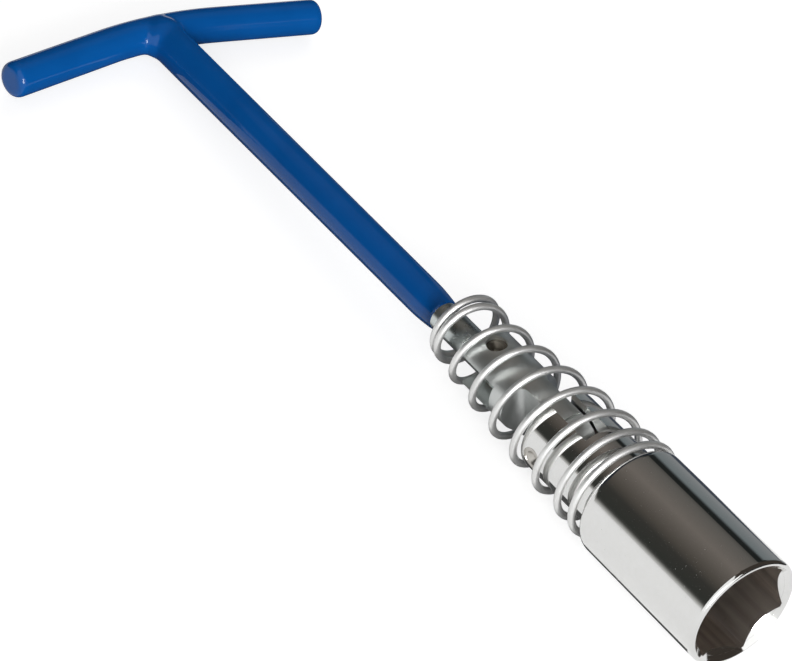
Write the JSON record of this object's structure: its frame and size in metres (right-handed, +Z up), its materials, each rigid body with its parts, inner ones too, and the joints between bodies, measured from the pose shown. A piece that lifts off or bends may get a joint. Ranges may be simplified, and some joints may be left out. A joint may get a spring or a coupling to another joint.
{
  "type": "t-handle spark plug wrench",
  "caption": "T-handle wrench with a hex spark plug socket on a sprung universal joint, with a blue dipped handle and a chromed socket.",
  "frame": {"origin": "on the floor, under the middle of the part's bounding box, as it lies at rest", "axes": "+X toward the socket mouth, Y along the crossbar, +Z up; the tool's own axis slopes down a few degrees toward the crossbar"},
  "size_m": [0.2317, 0.0902, 0.0286],
  "materials": {
    "zinc_rod": "bare zinc-plated rod",
    "blue_coat": "glossy dipped plastic skin",
    "zinc_link": "zinc-plated steel",
    "pin_steel": "bare steel rivet",
    "chrome": "polished chrome plate",
    "spring_wire": "zinc-plated spring wire",
    "black_rubber": "matt black rubber"
  },
  "bodies": {
    "handle": {"shaft": "zinc_rod", "crossbar": "zinc_rod", "handle_coating": "blue_coat"},
    "mid_link": {"link": "zinc_link", "upper_pin": "pin_steel"},
    "socket_head": {"socket": "chrome", "lower_pin": "pin_steel", "joint_spring": "spring_wire", "plug_grip": "black_rubber"}
  },
  "joints": [
    {"name": "upper_hinge", "type": "hinge", "parent": "handle", "child": "mid_link", "pos_m": [0.02988, 0.0012, 0.01126], "axis": [-0.0444, -0.1994, 0.9789], "range_deg": [-35, 35], "stiffness_Nm_per_rad": 0.2, "deforming": ["joint_spring"]},
    {"name": "lower_hinge", "type": "hinge", "parent": "mid_link", "child": "socket_head", "pos_m": [0.05655, 0.0012, 0.01247], "axis": [-0.009, 0.9799, 0.1992], "range_deg": [-35, 35], "stiffness_Nm_per_rad": 0.2, "deforming": ["joint_spring"]}
  ]
}
